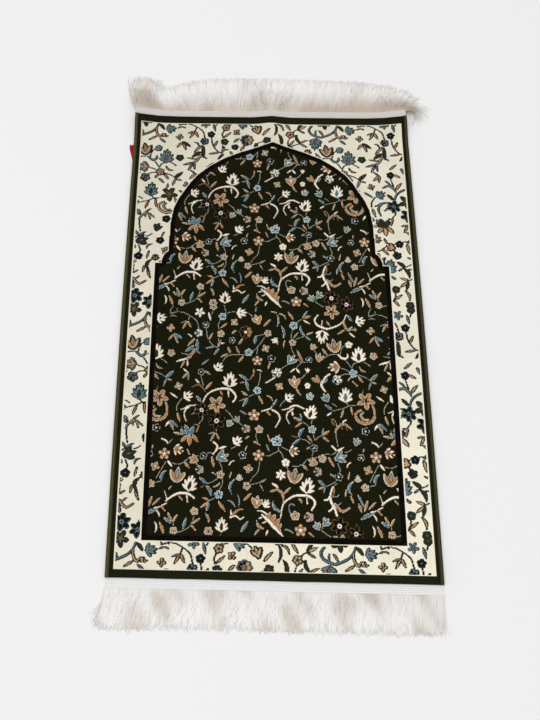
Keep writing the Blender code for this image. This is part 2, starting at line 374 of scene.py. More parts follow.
# Scrolls: a yarn and its rim, then the points of each scroll and its widths from end to end.
for role, rim, scrolls in [
    (RUST, EDGE, [
        ((-178,-152, -168,-147, -160,-147, -155,-152, -150,-158, -148,-163), 3, 8, 3),
    ]),
    (BLUE, RIM, [
        ((180,-425, 192,-420, 208,-412), 6, 11, 6),
    ]),
    (CREAM, EDGE, [
        ((102,21, 95,10, 99,-1, 109,-7, 122,-11, 135,-8, 150,-1, 160,8, 167,23), 4, 7, 5, 3),
        ((110,-5, 112,8), 3, 2),
        ((-153,-191, -151,-181, -146,-171, -138,-163, -126,-157, -113,-154, -100,-154, -90,-158, -82,-168,
          -82,-176, -87,-183), 3, 5, 7, 5),
        ((-98,-157, -97,-172), 4, 3),
        ((13,-427, 15,-411, 20,-397, 32,-387, 45,-381, 59,-380, 70,-381, 80,-386, 85,-394, 83,-402,
          78,-409), 3, 5, 8, 5),
        ((68,-383, 69,-397), 4, 3),
        ((-225,-397, -215,-389, -203,-382, -190,-380, -178,-382, -166,-390), 4, 8, 5),
        ((-182,-384, -180,-399), 4, 3), ((-223,-394, -226,-384, -230,-374), 3, 1),
        ((-169,-192, -183,-194, -192,-199, -200,-202), 3, 5, 2),
        ((-183,-196, -190,-203, -193,-213, -188,-228), 6, 4, 2),
        ((19,-199, 32,-196, 42,-190, 54,-190, 66,-196), 2, 6, 4),
        ((42,-197, 31,-205, 28,-217, 34,-229), 5, 4, 2), ((-25,-203, -15,-200, -5,-196, 0,-188), 3, 5, 2),
        ((-1,-200, 10,-208, 13,-219, 9,-229, 4,-237), 6, 5, 3),
        ((146,-72, 152,-79, 160,-81, 166,-77, 166,-70), 5, 8, 3),
        ((124,-362, 118,-377, 119,-392, 126,-406, 130,-420), 5, 8, 6),
        ((117,-381, 112,-388, 105,-389), 6, 4), ((124,-400, 119,-408, 114,-411), 7, 5),
        ((-128,-272, -120,-280, -122,-290, -130,-298), 5, 7, 3),
        ((-34,-413, -24,-414, -13,-421, -8,-429), 3, 5, 4),
        ((125,-117, 115,-124, 108,-135, 106,-144, 114,-157), 5, 9, 4),
        ((200,-412, 212,-409, 226,-402), 4, 3), ((3,-127, -6,-134, -15,-139), 4, 3),
    ]),
    (PALE, EDGE, [
        ((42,-401, 36,-398, 31,-402, 31,-410, 33,-416), 4, 4), ((122,-381, 130,-382, 136,-378), 4, 3),
        ((125,-396, 134,-398, 141,-393), 4, 3),
    ]),
    (TAN, RIM, [
        ((190,-197, 180,-203, 178,-211, 184,-221, 197,-226, 212,-222, 219,-212, 220,-198,
          216,-188), 5, 8, 8, 4),
        ((195,-201, 190,-209, 196,-218, 206,-218), 5, 6, 3),
        ((133,-245, 136,-238, 143,-231, 151,-228, 160,-232, 168,-239), 4, 6, 2),
        ((162,8, 162,-1, 166,-10, 172,-14), 4, 8), ((167,-12, 174,-11, 178,-6), 5, 3),
        ((-6,-374, 5,-370, 14,-374, 19,-385, 20,-397), 4, 6, 3),
        ((128,-398, 136,-408, 145,-411, 157,-404), 8, 6, 3), ((-174,-66, -183,-80, -191,-88), 7, 8, 6),
    ]),
    (TAN, EDGE, [
        ((146,-231, 148,-239), 2.5, 1.5), ((155,-230, 159,-243), 3, 1.5),
        ((-91,-427, -81,-418, -72,-412, -62,-411), 3, 9, 2), ((126,-366, 125,-378), 6, 4),
        ((-165,-251, -161,-237, -170,-235), 5, 5, 3),
    ]),
    (CREAM, EDGE, [
        ((-90,-428, -82,-425, -76,-426, -70,-431, -63,-427), 5, 3),
    ]),
    (INK, None, [
        ((118,-120, 110,-128, 105,-140), 2, 2), ((181,-430, 178,-425, 183,-421), 3, 3),
    ]),
]:
    for points, *widths in scrolls:
        weave_in(stroke(points, [SCROLL_FULLNESS * w for w in widths]), role, rim, THIN_RIM)

# Leaves: a yarn, its fullness and its rim, then the base and the tip of each leaf, its width and any bend.
for role, fullness, rim, leaves in [
    (RUST, 0.60, None, [
        (197,-148, 186,-166, 5, 0.2), (132,-232, 124,-219, 7), (52,-259, 36,-255, 5),
        (-145,-363, -155,-370, 5), (-195,-250, -198,-238, 6),
    ]),
    (PALE, 0.50, None, [
        (-191,3, -208,-3, 6), (-217,34, -216,22, 5), (-233,12, -217,12, 5, 0.2), (-130,-58, -153,-62, 8),
        (-158,-101, -141,-87, 8), (-185,-120, -187,-137, 8), (-36,41, -38,26, 6), (72,-30, 87,-40, 8),
        (216,-133, 209,-152, 8), (-169,-197, -179,-214, 6, 0.2), (-124,-251, -141,-255, 6),
        (-56,-211, -73,-202, 7), (-55,-174, -75,-182, 6), (-8,-290, -16,-272, 7), (-226,-279, -216,-267, 5),
        (104,-253, 108,-236, 7), (-99,-393, -80,-410, 7, 0.2), (-77,-380, -75,-410, 6, 0.15),
        (-31,-357, -14,-348, 8), (108,-361, 103,-376, 6), (17,-450, 42,-461, 7, 0.15),
        (-182,-78, -207,-74, 5), (-172,-66, -160,-76, 5),
    ]),
    (CREAM, 0.52, None, [
        (-145,24, -140,4, 8), (-118,-50, -108,-49, 5), (-191,-29, -181,-40, 4, 0.2),
        (-187,-119, -199,-109, 6), (-171,-133, -160,-144, 6), (-38,-110, -22,-118, 4, 0.2), (68,9, 84,0, 6),
        (-3,-40, 11,-35, 6), (49,-105, 36,-115, 6), (50,-105, 59,-116, 7), (172,-20, 185,-31, 7),
        (-225,-165, -207,-178, 6), (-225,-228, -232,-240, 8), (-117,-286, -100,-281, 9),
        (206,-267, 226,-281, 6, 0.2), (126,-203, 115,-211, 6), (148,-225, 159,-217, 6),
        (134,-286, 122,-273, 8), (135,-287, 150,-278, 8), (40,-202, 42,-213, 7), (-225,-313, -215,-326, 9),
        (-94,-322, -82,-311, 5, 0.2), (-88,-424, -90,-412, 6), (-12,-451, -17,-463, 6),
        (155,-322, 168,-309, 5, 0.2), (-3,-356, 10,-367, 8), (203,-416, 212,-432, 6, 0.2),
        (202,-439, 203,-463, 6, 0.2), (-190,-86, -216,-94, 8), (-190,-88, -189,-106, 6),
        (-24,-427, -32,-429, 5), (-15,-434, -24,-438, 5),
    ]),
    (TAN, 0.60, RIM, [
        (-192,2, -203,-17, 8), (-191,2, -183,-14, 8), (-220,-30, -212,-52, 8), (-222,-30, -234,-44, 8),
        (-143,-43, -134,-25, 7), (-117,-14, -101,0, 7), (-121,-58, -116,-42, 6), (-20,-8, -3,10, 9),
        (-92,-27, -80,-17, 8), (-76,-52, -65,-36, 8), (-150,-115, -136,-123, 8), (-186,-119, -200,-133, 9),
        (-100,-74, -116,-82, 7), (-93,-74, -101,-55, 8), (-73,-75, -82,-56, 8), (-64,-79, -77,-94, 8),
        (-41,-108, -43,-125, 7), (-5,-93, -11,-110, 6), (10,25, -3,28, 5), (12,24, 30,7, 6, 0.2),
        (47,9, 34,30, 8), (68,12, 88,20, 9), (46,-35, 57,-21, 5), (74,-27, 90,-20, 6), (9,-38, 10,-52, 7),
        (26,-40, 22,-60, 5), (66,-90, 53,-62, 9), (121,8, 130,-6, 6), (163,-13, 145,-24, 7),
        (176,-13, 192,-12, 6), (187,-16, 184,-6, 4), (121,-74, 110,-58, 8), (207,-110, 191,-98, 6, 0.2),
        (187,-121, 198,-135, 8), (171,-123, 165,-132, 6), (174,-132, 187,-145, 7), (218,-134, 229,-138, 5),
        (-148,-157, -133,-139, 9), (-109,-170, -116,-158, 6), (-208,-209, -201,-230, 8),
        (-224,-229, -213,-249, 8), (-193,-257, -215,-253, 8), (-125,-252, -135,-271, 8),
        (-123,-251, -115,-269, 7), (-63,-139, -74,-141, 4), (-55,-170, -69,-159, 8), (-32,-168, -20,-189, 8),
        (-16,-168, 0,-181, 5, 0.2), (-14,-203, -4,-213, 8), (-43,-268, -27,-277, 8), (-60,-264, -51,-258, 6),
        (-6,-270, -12,-253, 6), (-60,-290, -56,-278, 4), (-178,-301, -184,-288, 6), (50,-151, 60,-167, 7),
        (153,-196, 146,-215, 7), (169,-189, 172,-210, 7), (59,-223, 43,-215, 9), (62,-226, 46,-237, 7),
        (105,-253, 121,-243, 9), (105,-256, 119,-267, 8), (83,-268, 72,-254, 7), (12,-262, 12,-252, 5),
        (190,-290, 194,-278, 4), (116,-300, 129,-321, 9), (-190,-315, -177,-329, 8),
        (-131,-302, -126,-326, 10), (-112,-355, -131,-366, 6, 0.2), (-135,-394, -152,-388, 8),
        (-136,-398, -153,-410, 9), (-116,-394, -100,-418, 10), (-169,-442, -152,-430, 8),
        (-171,-445, -160,-457, 7), (-211,-438, -221,-419, 8), (-210,-440, -200,-424, 8),
        (-143,-420, -135,-443, 8, 0.15), (-93,-349, -88,-333, 5), (-63,-394, -46,-377, 9),
        (-28,-360, -21,-372, 4), (-20,-449, -36,-431, 9, 0.2), (-30,-450, -40,-462, 7),
        (-221,-374, -214,-366, 4), (-198,-386, -190,-396, 6), (60,-316, 72,-329, 8), (106,-362, 91,-368, 7),
        (156,-348, 161,-328, 5), (152,-366, 149,-382, 6), (160,-378, 167,-396, 7),
        (50,-387, 57,-398, 7, 0.2), (19,-379, 35,-364, 8), (70,-455, 82,-463, 7), (214,-407, 226,-420, 7),
        (223,-463, 213,-438, 10), (-173,-38, -191,-58, 9), (-195,-92, -204,-109, 7),
        (-180,-259, -179,-280, 17), (-184,-259, -198,-273, 13), (-174,-257, -161,-273, 13),
        (183,-412, 175,-393, 10), (188,-411, 196,-387, 10), (196,-407, 214,-390, 7), (85,-127, 103,-137, 14),
        (95,-120, 103,-135, 10),
    ]),
    (BLUE, 0.68, RIM, [
        (-221,-28, -202,-41, 10), (-119,-62, -131,-77, 7), (-36,-30, -40,-50, 11), (-54,-134, -75,-121, 9),
        (9,22, 8,-9, 6, 0.15), (67,12, 79,31, 8), (72,-29, 63,-3, 8, 0.15), (23,-36, 17,-5, 9, -0.15),
        (170,22, 181,7, 9), (214,-131, 232,-115, 11), (-156,-184, -169,-170, 9), (-223,-226, -205,-241, 10),
        (-59,-134, -53,-158, 9), (-54,-174, -66,-194, 10), (8,-174, -1,-192, 6), (128,-198, 112,-186, 9),
        (60,-224, 58,-207, 8), (55,-260, 67,-238, 10, 0.15), (56,-262, 39,-275, 8), (70,-284, 77,-279, 5),
        (-120,-341, -131,-336, 5), (-140,-360, -157,-347, 10), (-143,-364, -131,-387, 10, 0.15),
        (-135,-398, -140,-417, 8), (-189,-454, -181,-430, 9), (-211,-442, -229,-430, 9),
        (-80,-349, -86,-383, 8, -0.25), (-68,-457, -53,-434, 10), (214,-357, 224,-334, 9, 0.2),
        (118,-334, 129,-343, 5), (107,-360, 92,-347, 10), (169,-349, 165,-380, 9, -0.3),
        (13,-415, -1,-392, 9, 0.2), (-169,-40, -168,-73, 10), (-175,-56, -195,-71, 12),
        (-184,-256, -200,-247, 11), (-181,-257, -190,-236, 15), (-178,-257, -171,-239, 15),
        (188,-401, 175,-376, 7), (120,-128, 112,-138, 6),
    ]),
]:
    for x0, y0, x1, y1, width, *bend in leaves:
        leaf((x0, y0), (x1, y1), fullness * width, role, rim, *bend)

# A toothed blade along one side of a cream scroll: its spine, then its teeth.
blade = [stroke((-17, -424, -5, -431, 5, -442, 13, -457), (3, 8, 9, 3)), petal((-13, -428), (-6, -415), 7),
         petal((-6, -434), (3, -420), 8), petal((1, -441), (11, -428), 8), petal((7, -449), (15, -438), 7)]
for tooth in blade:
    weave_in(tooth, RIM, EDGE, THIN_RIM)
for tooth in blade:
    weave_in([(x - 0.4, y - 0.4, r - 0.9) for x, y, r in tooth], TAN)
weave_in(stroke((-25, -421, -10, -434, 4, -450, 18, -464), (2.5, 5.5, 5, 2)), CREAM)

# Small flowers: across, along, size.
for x, y, size in [
    (-113,14, 10.5), (-53,-70, 10.5), (47,-5, 11), (177,-115, 11), (-34,-157, 10), (80,-168, 10),
    (83,-241, 10), (-115,-382, 10.5),
]:
    rosette((x, y), 0.92 * size, SKY, FROST, INK if x < 60 else TAN, turn=70 + x, eye_size=0.24, heart=0.24)
rosette((7, -268), 12, SKY, FROST, INK, eye_size=0.24)
for x, y, size in [
    (-116,-27, 10), (-10,-24, 10), (224,-74, 10), (44,-45, 9.5), (-30,-243, 10.5), (-112,-341, 10),
    (-56,-363, 10), (192,-362, 10), (-165,-417, 10), (-207,-457, 10), (-135,-456, 10.5), (43,-422, 11.5),
    (103,-303, 10.5), (-134,38, 10),
]:
    rosette((x, y), 0.90 * size, ROSE, RIM, BARK, turn=50 + x, eye_size=0.19)
for x, y, size in [
    (-150,-6, 9), (-90,-42, 8.5), (-3,-84, 9.5), (-158,-117, 9), (80,-85, 8.5), (198,-243, 9.5),
    (86,-281, 9.5), (-65,-299, 9.5), (186,-300, 9), (-149,-302, 9), (137,-341, 9.5),
]:
    rosette((x, y), 0.94 * size, INK, HALO, WHITE, turn=90 + x, eye_size=0.16, heart=0.30)

# Flowers of two halves: across, along, size, the bright half's yarn, the side that is dark.
for x, y, size, role, turn in [
    (-166,-26, 10, WHITE, 180), (-58,-242, 9.5, ROSE, 180), (-156,-331, 9.5, ROSE, 180),
    (93,-331, 9.5, ROSE, 180), (72,-424, 10.5, ROSE, 180), (8,-116, 11.5, SKY, 230),
    (141,-130, 11.5, SKY, 200),
]:
    rosette((x, y), size, role, HALO, INK, turn=turn)
    for side in (-36, 36):
        spot(toward((x, y), size * 0.54, turn + side * 0.9), size * 0.26, INK)
    if role == SKY:
        star(toward((x, y), 3, 60), size * 0.85, CREAM, CREAM, INK, turn=50, width=0.42)
for x, y, size in [(-34,-89, 12), (-41,-212, 13.5), (-31,-299, 13), (218,-299, 13), (54,-451, 13)]:
    round_flower((x, y), size, TAN, WHITE)
for x, y, size in [
    (-86,1, 8.5), (-15,-60, 8.5), (-207,-150, 8), (221,-15, 8.5), (13,-147, 8.5), (-53,-327, 9),
    (199,-326, 9),
]:
    star((x, y), size, TAN, RIM, CREAM, 4, turn=45 + x, width=0.8)
for x, y, size in [(75,-144, 7), (170,-48, 8.5), (25,-313, 9)]:
    rosette((x, y), size, CREAM, CREAM, TAN)
star((-165, 24), 12, CREAM, CREAM, TAN, turn=60, width=0.45)
star((14, -339), 11, CREAM, CREAM, TAN, 6, width=0.45)

# Large stars: tan ones with five brown rays, and black ones with a pale ring.
for x, y, size in [(-123,-190, 20), (202,-176, 20), (134,30, 18)]:
    star((x, y), size, ROSE, RIM, RUST, turn=60, width=0.54)
    for one in turns_from(60, 5):
        weave_in(petal((x, y), toward((x, y), size * 0.50, one), 3.0), BARK)
for x, y, size in [(-155,-203, 17), (-122,-226, 19), (135,-441, 19), (169,-456, 17)]:
    star((x, y), size, INK, RUST, INK, 6, turn=80, width=0.54, ring=WHITE, rim_width=0.8)

# A flower of eight round petals, half of them black.
WHEEL = (-60, -22)
for one in turns_from(0, 8):
    spot(toward(WHEEL, 10.5, one), 4.6, RUST, EDGE)
for one in turns_from(0, 8):
    spot(toward(WHEEL, 10.0, one), 3.5, INK if 80 < one < 280 else TAN)
spot(WHEEL, 6.5, BARK)
spot(WHEEL, 3.2, CREAM)

# Palmettes: across, along, height, facing, the yarn of the heart.
for x, y, size, turn, eye in [
    (-94,-133, 37, 82, BARK), (191,-70, 39, 88, BARK), (158,-163, 36, 86, BLUE), (82,-202, 34, 68, BARK),
    (-175,-359, 36, 75, BARK), (71,-359, 36, 75, BARK), (-108,-442, 31, 88, BARK), (110,-31, 34, -98, BARK),
]:
    foot = toward((x, y), -size / 2, turn)
    fan(foot, size, turn, CREAM, None, eye, spread=108, width=0.155, cup=0.19, droop=0.46)

# Toothed blooms from the side: across, along, length, facing, yarn, the yarn of the heart.
for x, y, size, turn, role, eye in [
    (-69,24, 27, 5, CREAM, SKY), (199,9, 27, 10, CREAM, BARK), (-185,-171, 25, 30, CREAM, BARK),
    (35,-171, 23, 30, CREAM, BARK), (-15,-398, 20, 60, CREAM, None), (134,-101, 30, 185, CREAM, TAN),
    (44,-288, 25, 0, CREAM, TAN), (-202,-290, 25, -15, CREAM, TAN), (-72,-346, 14, 90, TAN, None),
    (177,-344, 15, 90, TAN, None), (-119,-104, 25, 55, CREAM, INK), (-76,-268, 25, 40, CREAM, BLUE),
]:
    foot = toward((x, y), -size * 0.46, turn)
    rim = RIM if role == TAN else None
    fan(foot, size * 0.92, turn, role, rim, spread=104, petals=5, width=0.19, cup=0.17, droop=0.34)
    if eye == TAN:
        heart = toward(foot, size * 0.08, turn)
        fan(heart, size * 0.70, turn, TAN, spread=80, petals=3, width=0.22, droop=0.30)
    elif eye is not None:
        spot(toward(foot, size * 0.36, turn), size * 0.10, eye)

# Tulips and bells: across, along, length, facing, yarn. The long ones have a cream vein.
for x, y, size, turn, role in [
    (-34,8, 24, 110, TAN), (40,-86, 24, 55, BLUE), (47,-137, 27, 95, TAN), (115,-171, 20, 120, BLUE),
    (142,-300, 27, 20, BLUE), (-109,-303, 27, 20, BLUE), (-78,-222, 18, 120, PALE), (-94,-231, 16, 60, BLUE),
    (178,-266, 18, 70, BLUE), (-35,-396, 25, 80, TAN), (89,-442, 17, 120, BLUE), (107,-434, 19, 50, BLUE),
    (103,-80, 20, 80, TAN), (90,-55, 15, 60, TAN), (76,-109, 11, 90, CREAM), (84,-311, 19, 160, TAN),
    (-169,-310, 20, 160, TAN), (5,-41, 14, 160, CREAM),
]:
    foot = toward((x, y), -size * 0.48, turn)
    rim = RIM if role in (TAN, BLUE) else None
    fan(foot, size, turn, role, rim, spread=58, petals=3, width=0.28, cup=0.20, droop=0.12)
    if size > 22:
        weave_in(petal(toward(foot, size * 0.30, turn), toward(foot, size * 0.72, turn), size * 0.10), CREAM)

# Trefoils: across, along, facing.
for x, y, turn in [(137,-50, 100), (-203,-342, 80), (44,-339, 80)]:
    for back, length, width, role, rim in ((17, 33, 12, RIM, EDGE), (15, 29, 8.5, TAN, None)):
        foot = toward((x, y), -back, turn)
        for side in (-34, 0, 34):
            tip = toward(foot, length - abs(side) * 0.1, turn + side)
            weave_in(petal(foot, tip, width), role, rim, THIN_RIM)
    weave_in(petal(toward((x, y), -8, turn), toward((x, y), 9, turn), 6.5), PALE, BARK, 1.5)


# Where each yarn lies: the plain rim, the border, the black arch and the field in it, in millimetres.
KNOTS = (447, 734)  # across and along, without the overcast sides
RIM_BAND, ARCH_BAND, BORDER, FIELD = range(4)
BORDER_EDGE = (-327.0, 328.5, -534.0, 529.5)  # left, right, foot, arch end
ARCH_WIDTH = 10.5
MOTIF_MARGIN = 2.2
ARCH_LEAN, ARCH_LEAN_FROM, ARCH_LEAN_LENGTH = 4.0, 300, 170
ARCH_LINE = (
    # half its width, along the rug: from the foot to the point of the arch
    (274, -476.5), (274, 145), (259, 145), (258, 155), (254, 166), (248, 173), (243, 176), (243, 215),
    (242, 250), (236, 290), (226, 315), (213, 337), (199, 361), (182, 383), (153, 408), (119, 430),
    (80, 447), (40, 461), (0, 474),
)
FAR = 1000.0
across = ((np.arange(KNOTS[0]) + 0.5) / KNOTS[0] - 0.5) * 1000 * (WIDTH - 2 * EDGE_SHARE)
along = ((np.arange(KNOTS[1]) + 0.5) / KNOTS[1] - 0.5) * 1000 * LENGTH
x, y = np.meshgrid(across, along)
side_x = np.abs(x - ARCH_LEAN * ease((y - ARCH_LEAN_FROM) / ARCH_LEAN_LENGTH))
half_at = np.full(x.shape, -1.0)
from_line = np.where(side_x <= ARCH_LINE[0][0], np.abs(y - ARCH_LINE[0][1]), FAR)
for (half_a, along_a), (half_b, along_b) in zip(ARCH_LINE, ARCH_LINE[1:]):
    run_x, run_y = half_b - half_a, along_b - along_a
    t = np.clip(((side_x - half_a) * run_x + (y - along_a) * run_y) / (run_x ** 2 + run_y ** 2), 0, 1)
    from_line = np.minimum(from_line, np.hypot(side_x - half_a - t * run_x, y - along_a - t * run_y))
    if run_y > 0:
        half_at = np.where((y >= along_a) & (y < along_b), half_a + run_x * (y - along_a) / run_y, half_at)
part = np.where(side_x < half_at, np.where(from_line < ARCH_WIDTH, ARCH_BAND, FIELD), BORDER)
left, right, foot, end = BORDER_EDGE
to_rim = np.minimum(np.minimum(x - left, right - x), np.minimum(y - foot, end - y))
part = np.where(to_rim < 0, RIM_BAND, part)
in_field, in_border = part == FIELD, part == BORDER
clear = in_field & (from_line > ARCH_WIDTH + MOTIF_MARGIN)
clear |= in_border & (from_line > MOTIF_MARGIN) & (to_rim > MOTIF_MARGIN)


def beside(chart, rows, columns):
    """The chart moved by knots: the yarn of a neighbour of each knot."""
    return np.roll(chart, (rows, columns), (0, 1))


motif = repeat[np.ix_(((along % REPEAT[1]) // KNOT).astype(int), ((across % REPEAT[0]) // KNOT).astype(int))]
motif = np.where(clear & ~(in_field & (motif == EDGE)), motif, GROUND)
# A dark outline round the border's shapes, and olive knots down the right of its tan and blue ones.
shape = in_border & (motif != GROUND)
above = beside(shape, -1, 0)
outline = np.where(shape, ~above, above | beside(shape, 0, 1) | beside(shape, 0, -1))
motif = np.where(outline & clear & in_border, EDGE, motif)
at_right = (beside(motif, 0, 1) == motif) & (beside(motif, 0, -1) != motif)
motif = np.where(in_border & ((motif == TAN) | (motif == CREAM)) & at_right, ROSE, motif)
# A brown line beside the field's cream shapes.
warm = (motif == GROUND) & ((beside(motif, 0, 1) == CREAM) | (beside(motif, -1, 0) == CREAM))
motif = np.where(warm & clear & in_field, RUST, motif)

YARNS = {
    # role: colour in the field, colour in the border
    GROUND: ((0.0098, 0.0102, 0.0036), (0.820, 0.770, 0.615)),
    EDGE: ((0.0098, 0.0102, 0.0036), (0.014, 0.019, 0.021)),
    STEM: ((0.370, 0.355, 0.285), (0.018, 0.027, 0.034)),
    RIM: ((0.600, 0.545, 0.430), (0.020, 0.022, 0.020)),
    CREAM: ((0.850, 0.800, 0.680), (0.125, 0.195, 0.228)),
    PALE: ((0.255, 0.275, 0.255), (0.230, 0.205, 0.140)),
    TAN: ((0.400, 0.200, 0.084), (0.490, 0.305, 0.155)),
    RUST: ((0.190, 0.098, 0.044), (0.150, 0.180, 0.185)),
    BLUE: ((0.105, 0.190, 0.230), (0.030, 0.032, 0.015)),
    INK: ((0.0040, 0.0038, 0.0040), (0.0065, 0.0070, 0.0085)),
    HALO: ((0.450, 0.445, 0.410), (0.012, 0.014, 0.016)),
    WHITE: ((0.740, 0.720, 0.660), (0.130, 0.165, 0.185)),
    ROSE: ((0.430, 0.222, 0.096), (0.026, 0.030, 0.012)),
    SKY: ((0.140, 0.230, 0.272), (0.440, 0.260, 0.125)),
    BARK: ((0.040, 0.024, 0.012), (0.170, 0.105, 0.055)),
    FROST: ((0.600, 0.660, 0.655), (0.120, 0.085, 0.050)),
}
RIM_YARN, ARCH_YARN = (0.0130, 0.0136, 0.0052), (0.0040, 0.0029, 0.0023)
ROLES = len(YARNS)
PLAIN, BLACK = 2 * ROLES, 2 * ROLES + 1
yarn_colours = np.array([YARNS[k][place] for place in (0, 1) for k in range(ROLES)] + [RIM_YARN, ARCH_YARN])
chart = np.select([in_field, in_border, part == RIM_BAND], [motif, motif + ROLES, PLAIN], BLACK)

LONGEST_BLOCK = 32  # knots
DONE = -1


def count_same(same):
    """How many values at the start of a row are true."""
    return len(same) if same.all() else int(same.argmin())


def colour_blocks(chart):
    """Rectangles of one yarn: first row and column, end row and column. The outer two knots keep apart."""
    rows, columns = chart.shape
    row_ring, column_ring = (np.minimum(np.arange(n), np.arange(n)[::-1]) for n in chart.shape)
    key = chart * 4 + np.minimum(np.minimum(row_ring[:, None], column_ring[None]), 2)
    blocks = []
    for row in range(rows):
        column = 0
        while column < columns:
            window = key[row:row + LONGEST_BLOCK, column:column + LONGEST_BLOCK]
            if window[0, 0] == DONE:
                column += 1
                continue
            same = window == window[0, 0]
            wide = count_same(same[0])
            low = count_same(same[:, :wide].all(axis=1))
            deep = count_same(same[:, 0])
            far = count_same(same[:deep].all(axis=0))
            if deep * far > low * wide:
                low, wide = deep, far
            window[:low, :wide] = DONE
            blocks.append((row, column, row + low, column + wide))
            column += wide
    return blocks


def block_outline(block, used):
    """The used grid points round a block, so that it shares each of them with its neighbours."""
    row, column, low, wide = block
    points = [(row, c) for c in range(column, wide) if used[row, c]]
    points += [(r, wide) for r in range(row, low) if used[r, wide]]
    points += [(low, c) for c in range(wide, column, -1) if used[low, c]]
    points += [(r, column) for r in range(low, row, -1) if used[r, column]]
    return points


def woven_rug(chart):
    """One closed sheet: a top of yarn blocks, walls round its rim and a plain underside."""
    rows, columns = chart.shape
    blocks = colour_blocks(chart)
    used = np.zeros((rows + 1, columns + 1), dtype=bool)
    for row, column, low, wide in blocks:
        used[np.ix_((row, low), (column, wide))] = True
    row_marks, column_marks = ([*range(0, n, LONGEST_BLOCK), n] for n in chart.shape)
    below = np.zeros_like(used)
    below[np.ix_(row_marks, column_marks)] = True
    for mark in ((0, slice(None)), (rows, slice(None)), (slice(None), 0), (slice(None), columns)):
        used[mark] |= below[mark]
        below[mark] = used[mark]
    half_width = WIDTH / 2 - EDGE_SHARE
    verts, cloth, faces, shades = [], [], [], []

    def grid_points(marked, up):
        index = {}
        for row, column in zip(*np.nonzero(marked)):
            on_rim = row in (0, rows) or column in (0, columns)
            drop = PILE_ROUNDING if on_rim and up else 0.0
            index[(row, column)] = len(verts)
            verts.append(lay((2 * column / columns - 1) * half_width, (row / rows - 0.5) * LENGTH, up - drop))
            cloth.append((column, row))
        return index

    top, under = grid_points(used, THICKNESS), grid_points(below, 0.0)
    for block in blocks:
        faces.append([top[p] for p in block_outline(block, used)])
        shades.append(chart[block[0], block[1]])
    for row, low in zip(row_marks, row_marks[1:]):
        for column, wide in zip(column_marks, column_marks[1:]):
            faces.append([under[p] for p in block_outline((row, column, low, wide), below)][::-1])
    rim = block_outline((0, 0, rows, columns), used)
    for here, there in zip(rim, rim[1:] + rim[:1]):
        faces.append([top[there], top[here], under[here], under[there]])
    shades += [PLAIN] * (len(faces) - len(shades))
    return verts, faces, cloth, shades


verts, faces, cloth, shades = woven_rug(chart)
woven = piece_from("woven_pile_rug", verts, faces, cloth)
face_colours = np.hstack([yarn_colours[shades], np.ones((len(shades), 1))])
corners = [face.loop_total for face in woven.data.polygons]
colour = woven.data.attributes.new("yarn", "FLOAT_COLOR", "CORNER")
colour.data.foreach_set("color", np.repeat(face_colours, corners, axis=0).ravel())


def make_pile():
    """Cut pile: each knot a round tuft of its own tone, with painted shade between the tufts and soft fibres
    on top, and painted shade towards the left side and the arch end.
    """
    made, shader = new_finish("cut_pile", {"Roughness": 0.95, "Specular IOR Level": 0.03})
    cloth = cloth_place(made)
    within = sum_of(made, "FRACTION", cloth, kind="VectorMath")
    centred = sum_of(made, "SUBTRACT", within, (0.5, 0.5, 0.0), kind="VectorMath")
    from_middle = sum_of(made, "LENGTH", centred, kind="VectorMath", output="Value")
    knot = sum_of(made, "FLOOR", cloth, kind="VectorMath")
    chance = node(made, "TexWhiteNoise", {"Vector": knot}, noise_dimensions="2D").outputs["Value"]
    tuft = in_range(made, from_middle, 0.30, 0.72, 1.0, 0.0, "SMOOTHSTEP")
    # Painted shade: each knot darker towards its rim, where the tufts meet.
    depth = in_range(made, tuft, 0.0, 1.0, 0.80, 1.00)
    own = in_range(made, chance, 0.0, 1.0, 0.95, 1.05)
    sweep = in_range(made, texture(made, "Noise", cloth, 0.02, Detail=3.0), 0.3, 0.7, 0.93, 1.07)
    # Painted shade: the pile darker towards the left side and towards the arch end, for light falling from
    # the right and from the foot onto the lean of the pile.
    painted_shade_across = in_range(made, parted(made, cloth)["X"], 0.0, KNOTS[0], 0.93, 1.05)
    painted_shade_along = in_range(made, parted(made, cloth)["Y"], 0.0, KNOTS[1], 1.10, 0.93)
    tone = sum_of(made, "MULTIPLY", depth, own)
    for change in (sweep, painted_shade_across, painted_shade_along):
        tone = sum_of(made, "MULTIPLY", tone, change)
    yarn = node(made, "Attribute", {}, attribute_name="yarn").outputs["Color"]
    fleck = in_range(made, chance, 0.0, 1.0, -0.003, 0.003)
    flecked = sum_of(made, "ADD", toned(made, yarn, tone), fleck, kind="VectorMath")
    fibre = texture(made, "Noise", rug_place(made), 2600.0, Detail=2.0)
    height = sum_of(made, "MULTIPLY_ADD", fibre, 0.5, tuft)
    return complete(made, shader, flecked, height, 0.45, 0.0005)


woven.data.materials.append(make_pile())
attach(woven, "root")
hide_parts("pile_rug")


# ---- The overcast sides ----
# Each long side is wrapped closely with an olive yarn that is carried round the rim of the
# weave and sewn down, so two flat channels run along its top where the stitches sink in.
EDGE_WIDTH = 0.0095
EDGE_THICKNESS = 0.0068
EDGE_PROFILE = (
    # out from the weave, up: shares of the edge's width and thickness
    (0.00, 0.00), (0.34, 0.00), (0.64, 0.00), (0.82, 0.06), (0.93, 0.16), (0.985, 0.30), (1.00, 0.46),
    (0.98, 0.63), (0.93, 0.78), (0.86, 0.88), (0.77, 0.94), (0.68, 0.86), (0.57, 0.99), (0.485, 1.02),
    (0.40, 1.00), (0.29, 0.88), (0.18, 0.96), (0.00, 0.84),
)
EDGE_MIDDLE = (0.5, 0.48)
WRAP_PITCH = 0.0030
WRAP_STEPS = 4
WRAP_RELIEF = 0.00032
WRAP_SLANT = 0.9  # of a pitch, from the inner rim over to the outer one
TAB_SPAN = (0.421, 0.466)  # of the folded tab, where the left side passes over it
TAB_SEAT = 0.0011
TAB_BLEND = 0.012
edge_dice = np.random.default_rng(31)


